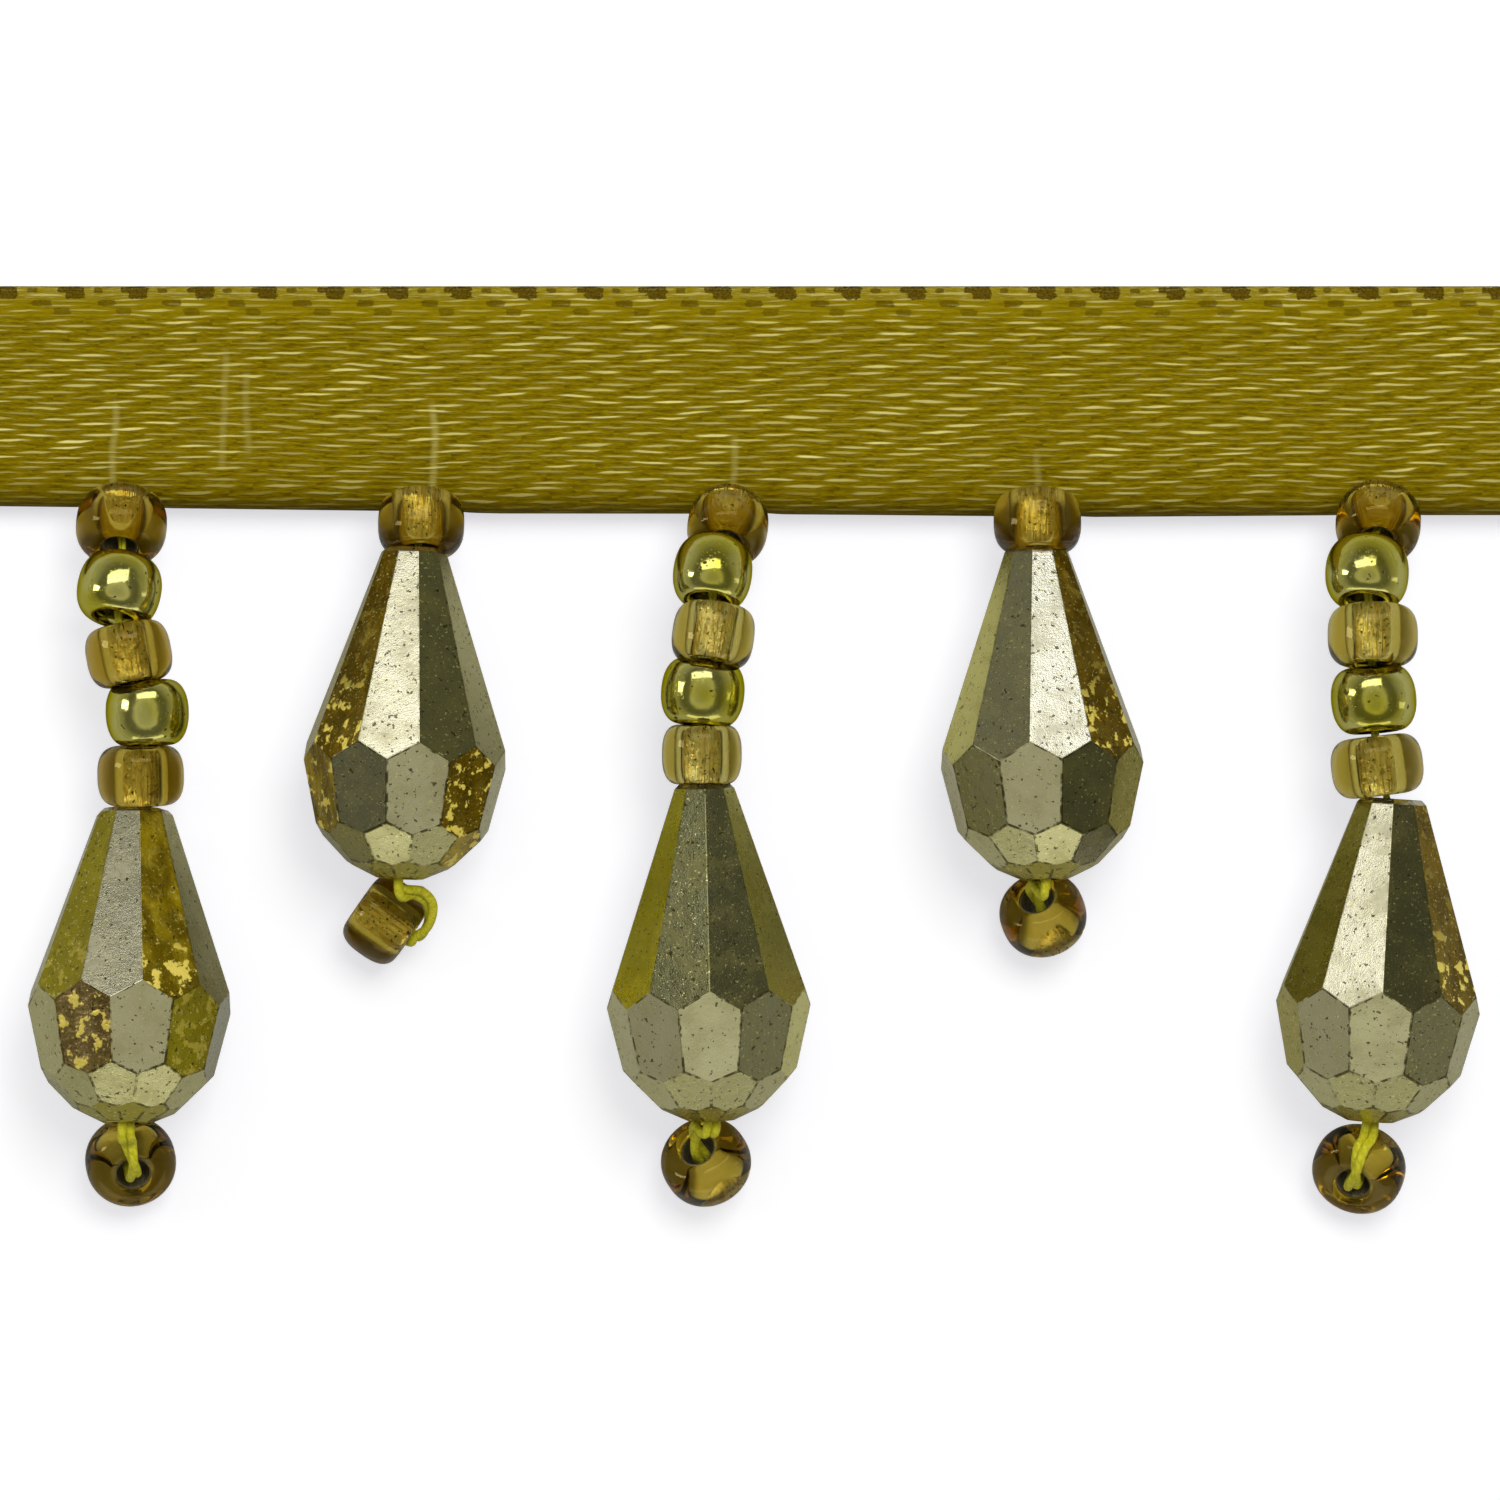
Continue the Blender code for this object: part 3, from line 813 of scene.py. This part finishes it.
def drop_rings(length):
    """The rings of one drop: those above, and the neck's, which depend on its length."""
    neck = LONG_APOTHEM - LONG_TAPER * (length - GIRDLE_HEIGHT)
    slant = NECK_CHAMFER / (1 - LONG_TAPER)
    rings = {
        "neck_bore": (length, DROP_BORE, 0),
        "neck": (length, (neck - NECK_CHAMFER) / np.cos(HALF), 0),
        "collar": (length - slant, (neck + LONG_TAPER * slant) / np.cos(HALF), 0),
    }
    return {**rings, **RINGS}


def drop_corners(rings, turn):
    """All corners: height, radius and azimuth to places, ring after ring."""
    table = np.array(list(rings.values()))
    azimuth = np.radians(turn) + (2 * np.arange(FACETS)[None, :] + table[:, 2:3]) * HALF
    return np.stack([table[:, 1:2] * np.cos(azimuth), table[:, 1:2] * np.sin(azimuth),
                     table[:, 0:1] + 0 * azimuth], -1).reshape(-1, 3)


def drop_facets(rings):
    """Corner numbers of the facets, tier by tier, each facing outwards."""
    k = np.arange(FACETS)
    ring = {name: start * FACETS + k for start, name in enumerate(rings)}
    on = {name: np.roll(numbers, -1) for name, numbers in ring.items()}
    back = {name: np.roll(numbers, 1) for name, numbers in ring.items()}
    tiers = {
        "neck_face": (ring["neck_bore"], on["neck_bore"], on["neck"], ring["neck"]),
        "chamfer": (ring["neck"], on["neck"], on["collar"], ring["collar"]),
        "long": (ring["collar"], on["collar"], on["shoulder"], ring["girdle"], ring["shoulder"]),
        "hexagon": (ring["shoulder"], ring["girdle"], ring["lower"], ring["low"], back["lower"],
                    back["girdle"]),
        "under": (ring["lower"], on["low"], on["base"], ring["foot"], ring["base"], ring["low"]),
        "last": (ring["base"], ring["foot"], ring["end"], back["end"], back["foot"]),
        "end_face": (back["end"], ring["end"], ring["end_bore"]),
        "end_fan": (ring["end"], on["end_bore"], ring["end_bore"]),
        "bore": (ring["end_bore"], on["end_bore"], on["neck_bore"], ring["neck_bore"]),
    }
    return {name: np.stack(corners, 1)[:, ::-1] for name, corners in tiers.items()}


# %% [markdown]
# ## Plating and painted reflection, facet by facet
# One letter names the plating and painted reflection of a facet, counted from the edge that faces
# the camera, to the right. The letters become a tint and a wear value on each face of the mesh,
# and one finish reads them.

# %% Facet table
# Each tint is partly the plating's colour and partly a painted reflection: how bright or dark a
# facet mirrors its surroundings is painted into its letter.
PLATING_AND_REFLECTION = {
    "S": (colour(222, 218, 192), 0.10), "W": (colour(250, 248, 230), 0.05),
    "G": (colour(128, 128, 94), 0.15), "H": (colour(168, 166, 138), 0.20),
    "P": (colour(204, 200, 148), 0.15), "K": (colour(236, 230, 138), 0.20),
    "O": (colour(178, 168, 66), 0.30), "L": (colour(232, 222, 60), 0.55),
    "Y": (colour(168, 156, 26), 0.60), "A": (colour(206, 178, 18), 1.00),
    "D": (colour(140, 112, 2), 0.90), "B": (colour(166, 138, 96), 0.75),
    "C": (colour(250, 246, 214), 0.10),
}
# long facets, hexagons and the facets under them, for each drop
FACET_LETTERS = {
    1: ("APSOSOSPYS", "SYHOSOSOPB", "PPOPSPOPPP"),
    2: ("GPSOSOSODS", "SDPOSOSOAH", "PAPPSPOPPP"),
    3: ("GKSOSOSOLG", "CHKOSOSOPS", "PPPPSPOPPP"),
    4: ("WDPOSOSOKH", "SGOOSOSOPH", "PHOPSPOPPP"),
    5: ("GDPOSOSOOS", "CHPOSOSOOS", "PPPPSPOPPP"),
}


def facet_values(number, tier):
    """Tint and wear for the ten faces of one tier of a drop."""
    letters = dict(zip(("long", "hexagon", "under"), FACET_LETTERS[number]))
    plain = {"chamfer": "S", "neck_face": "G", "last": "O", "end_face": "A", "end_fan": "A",
             "bore": "A"}
    values = [PLATING_AND_REFLECTION[letter] for letter in letters.get(tier, plain.get(tier, "S") * FACETS)]
    return np.array([tint for tint, _ in values]), np.array([wear for _, wear in values])


def framed(places, facets):
    """Splits each facet into a panel and a narrow strip along its sides.

    A panel corner lies inwards from the facet's corner p by (a + b) width / |a x b|, with a and b
    the unit vectors along both sides, so that the strip is equally wide all round."""
    corners = places[facets]
    ahead = np.roll(corners, -1, 1) - corners
    ahead /= np.linalg.norm(ahead, axis=2, keepdims=True)
    behind = -np.roll(ahead, 1, 1)
    lean_in = EDGE_STRIP / np.linalg.norm(np.cross(ahead, behind), axis=2, keepdims=True)
    inner = (corners + (ahead + behind) * lean_in).reshape(-1, 3)
    panel = len(places) + np.arange(facets.size).reshape(facets.shape)
    strips = np.stack([facets, np.roll(facets, -1, 1), np.roll(panel, -1, 1), panel], -1)
    return inner, panel, strips


def drop_finish():
    """Plating: tint and wear of the facet, specks, sparkles, worn strips and gold flakes.

    The sparkles are painted highlights; the gold flakes are real, painted bright as glints.
    """
    f = Finish("plated_facets")
    spot = f.place()
    tint = f.node("ShaderNodeAttribute", {"attribute_name": "tint"}, output="Color")
    wear = f.node("ShaderNodeAttribute", {"attribute_name": "wear"}, output="Fac")
    edge = f.node("ShaderNodeAttribute", {"attribute_name": "edge"}, output="Fac")
    mottle = f.noise(spot, 0.7, 3.0, 0.6)
    up = f.node("ShaderNodeAttribute", {"attribute_name": "up"}, output="Fac")
    speck = f.noise(spot, 5.0, 2.0).step(0.64, 0.69)
    # Sparkles: pale specks painted on the plating, painted highlights.
    sparkle = f.noise(spot, 8.0, 1.0).step(0.66, 0.72)
    grain = f.noise(spot, 14.0, 2.0)
    drawn = f.node("ShaderNodeVectorMath", {"operation": "MULTIPLY"},
                   {0: spot, 1: (1.1, 0.45, 1.1)})
    streak = f.noise(drawn, 1.0, 4.0, 0.55)
    flake = f.noise(spot, 1.5, 3.0, 0.6)
    thin = wear.step(0.45, 0.85)
    # Glints: gold flakes where the plating is thin, most towards the wide end. Their colour is
    # painted bright yellow and less metallic so that they look lit: real flakes with a painted
    # glint.
    glint = flake.step(0.55, 0.60) * thin * (up.step(0.68, 0.45) * 0.85 + 0.15)
    nick = f.noise(spot, 2.2, 2.0).step(0.40, 0.60)
    base = f.blend(mottle.step(0.3, 0.75) * 0.25, tint, colour(176, 164, 84))
    base = f.blend(streak.step(0.62, 0.38) * thin * 0.7, base, colour(96, 78, 0))
    base = f.blend(sparkle * 0.8, base, colour(244, 238, 170))
    base = f.blend(speck * 0.8, base, colour(58, 50, 16))
    base = f.blend(edge * nick * 0.85, base, colour(72, 62, 20))
    base = f.blend(glint, base, colour(255, 232, 110))
    skin = f.noise(spot, 0.8, 6.0, 0.62)
    rough_skin = wear.step(0.0, 0.3) * 0.30 + 0.06
    roughness = 0.15 + wear * 0.12 + grain * 0.12 + mottle.step(0.4, 0.8) * 0.12
    height = skin * rough_skin + grain * 0.04 - speck * 0.08 + flake * thin * 0.9
    return f.shade(Base_Color=base, Metallic=1.0 - wear * 0.15 - glint * 0.55,
                   Roughness=roughness, Normal=f.relief(height, 0.14))


plated_facets = drop_finish()

# %% [markdown]
# ## The drops in place
# Plating wears first along the edges of its facets. So each facet is split into a panel
# and a narrow strip round it, which the finish darkens here and there. Each drop is then laid on
# the table on its facets.

# %% Drops in place
EDGE_STRIP = 0.07
EDGE_WEAR = 0.03
# how dark the worn strips are; those of the long facets stay brighter
EDGE_DARK = {"long": 0.35, "chamfer": 0.5}


def drop_mesh(name, number, rings, places, turned_by, foot):
    """All panels and strips of a drop, each with its facet's tint and wear.

    The drop is built upright, each corner keeps its share of the height, and then it is laid."""
    tiers = drop_facets(rings)
    faces, tints, wears, edges = [], [], [], []
    for tier, facets in tiers.items():
        tint, wear = facet_values(number, tier)
        inner, panel, strips = framed(places, facets)
        places = np.concatenate([places, inner])
        sides = facets.shape[1]
        faces += panel.tolist() + strips.reshape(-1, 4).tolist()
        tints += [tint, np.repeat(tint, sides, 0)]
        wears += [wear, np.repeat(wear, sides)]
        edges += [np.zeros(FACETS), np.full(FACETS * sides, EDGE_DARK.get(tier, 1.0))]
    mesh = bpy.data.meshes.new(name)
    mesh.from_pydata(((places @ turned_by + foot) * MM).tolist(), [], faces)
    lists = {"tint": ("FLOAT_COLOR", "color", tints), "wear": ("FLOAT", "value", wears),
             "edge": ("FLOAT", "value", edges)}
    for label, (kind, slot, values) in lists.items():
        layer = mesh.attributes.new(label, kind, "FACE")
        layer.data.foreach_set(slot, np.concatenate(values).ravel())
    share = places[:, 2] / places[:, 2].max()
    mesh.attributes.new("up", "FLOAT", "POINT").data.foreach_set("value", share)
    return mesh


for number, (x, y, length, lean, lift, turn) in DROPS.items():
    node = f"strand_{number}_drop"
    rings = drop_rings(length)
    corners = drop_corners(rings, turn)
    laid = facing_up(-down_strand(lean, lift))
    foot = np.array([x, y, -(corners @ laid)[:, 2].min()])
    drop = add_piece(node + "_plated", drop_mesh(node, number, rings, corners, laid, foot), node,
                     plated_facets)
    worn = drop.modifiers.new("worn edges", "BEVEL")
    worn.width = EDGE_WEAR * MM
    worn.segments = 2
    worn.limit_method = "ANGLE"
    worn.angle_limit = np.radians(8)
    low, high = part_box(node)
    off = (corners @ laid + foot).min(0) - np.array(low) / MM
    print(node, "off its node by", np.abs(off).max().round(3), "mm")

# %% [markdown]
# ## Thread
# A strand hangs on two thin plies twisted together. They show where they loop from the drop
# round into the stopper. A plain round cord would look like wire, so each ply is its own tube,
# wound round the common path.

# %% Thread
PLY_RADIUS = 0.21
PLY_PULLED = 0.10
TWIST_PITCH = 7.0
LOOSE_END = 9.0
PLY_AROUND = 10
WAY_STEPS = 14
THREAD_IN_DROP = (0.9, 0.5, 0.12, -0.03)
# way points from the drop into the stopper, in mm from the stopper's centre
THREAD_WAYS = {
    1: [(0.10, 0.95, 2.75), (0.25, 0.10, 2.35)],
    2: [(1.55, 1.25, 1.90), (2.02, 0.80, 1.35), (2.04, 0.15, 0.85), (1.76, -0.45, 0.35)],
    3: [(-0.30, 1.60, 1.90), (-0.50, 1.25, 1.45)],
    4: [(-0.30, 1.40, 1.90), (-0.45, 1.15, 1.45)],
    5: [(-0.10, 1.00, 2.75), (-0.30, 0.10, 2.35)],
}


def thread_route(number):
    """Way points of a thread: bead centres, the mouths between them, and the loop."""
    route, way_out = [], None
    for kind, x, y, z, lean, pitch, width in STRANDS[number]:
        half = (GLASS_LENGTH if kind == "glass" else MIRROR_LENGTH) / 2
        centre, axis = np.array([x, y, z]), down_strand(lean, pitch)
        upper = centre - axis * half
        route.append(upper - axis * 0.1 if way_out is None else (way_out + upper) / 2)
        route.append(centre)
        way_out = centre + axis * half
    x, y, length, lean, lift, turn = DROPS[number]
    up = -down_strand(lean, lift)
    corners = drop_corners(drop_rings(length), turn) @ facing_up(up)
    wide_end = np.array([x, y, -corners[:, 2].min()])
    route.append((way_out + wide_end + up * length) / 2)
    route += [wide_end + up * length * share for share in THREAD_IN_DROP]
    x, y, lean, pitch, width, length = STOPPERS[number]
    axis = down_strand(lean, pitch)
    profile = barrel(width, length)
    height = (profile[:, 0] * np.sqrt(1 - axis[2] ** 2) + profile[:, 1] * abs(axis[2])).max()
    centre = np.array([x, y, height])
    route += [centre + np.array(way) for way in THREAD_WAYS[number]]
    return np.array(route + [centre + axis * length / 2, centre])


def smooth_path(points, steps):
    """Points on a Catmull-Rom curve: a cubic through each pair, steered by its neighbours."""
    ends = np.concatenate([[2 * points[0] - points[1]], points, [2 * points[-1] - points[-2]]])
    a, b, c, d = (ends[k:len(ends) - 3 + k, None, :] for k in range(4))
    t = np.linspace(0, 1, steps, endpoint=False)[None, :, None]
    curve = 0.5 * (2 * b + (c - a) * t + (2 * a - 5 * b + 4 * c - d) * t**2
                   + (3 * b - a - 3 * c + d) * t**3)
    return np.concatenate([curve.reshape(-1, 3), points[-1:]])


def crossways(path):
    """Length along a path, and at each point two unit vectors square to it."""
    ahead = np.gradient(path, axis=0)
    ahead /= np.linalg.norm(ahead, axis=1, keepdims=True)
    side = np.cross(ahead, [1.0, 0.15, 0.1])
    side /= np.linalg.norm(side, axis=1, keepdims=True)
    walked = np.concatenate([[0], np.cumsum(np.linalg.norm(np.diff(path, axis=0), axis=1))])
    return walked, side, np.cross(ahead, side)


def ring_along(path, radius, around):
    """A circle carried along a path: radius times cosine and sine of its two cross vectors."""
    _, side, over = crossways(path)
    angle = np.linspace(0, 2 * np.pi, around, endpoint=False)[None, :, None]
    outward = np.cos(angle) * side[:, None] + np.sin(angle) * over[:, None]
    return path[:, None] + radius[:, None] * outward


def ply_radius(path):
    """Thin where the beads pull the thread tight, full where it leaves the drop for the stopper."""
    walked = crossways(path)[0]
    loose = np.clip((walked - walked[-1] + LOOSE_END) / 2.0, 0, 1)
    return (PLY_PULLED + (PLY_RADIUS - PLY_PULLED) * loose)[:, None]


def ply_path(path, radius, phase):
    """One ply: the path moved out by the ply's radius, turning once in each twist pitch."""
    walked, side, over = crossways(path)
    angle = (2 * np.pi * walked / TWIST_PITCH + phase)[:, None]
    return path + radius * 0.92 * (np.cos(angle) * side + np.sin(angle) * over)


def thread_finish():
    """Waxed cotton: fibres along the ply, brighter and darker."""
    f = Finish("chartreuse_thread")
    place = f.share()
    along = f.axis(place, "Y")
    fibre = f.noise(f.point(f.axis(place, "X") * 6 + along * 60, along * 90), 1.0, 2.0)
    base = f.blend(fibre.step(0.3, 0.7), colour(190, 182, 0), colour(222, 218, 60))
    return f.shade(Base_Color=base, Roughness=0.75, Normal=f.relief(fibre, 0.03))


thread_cotton = thread_finish()
for number in STRANDS:
    path = smooth_path(thread_route(number), WAY_STEPS)
    radius = ply_radius(path)
    node = f"strand_{number}_thread"
    for side in range(2):
        wound = ply_path(path, radius, np.pi * side)
        ply = surface(f"ply_{side}", ring_along(wound, radius, PLY_AROUND), False, True, True)
        add_piece(f"{node}_ply_{side + 1}", ply, node, thread_cotton)
    print(node, round(float(crossways(path)[0][-1]), 1), "mm long")
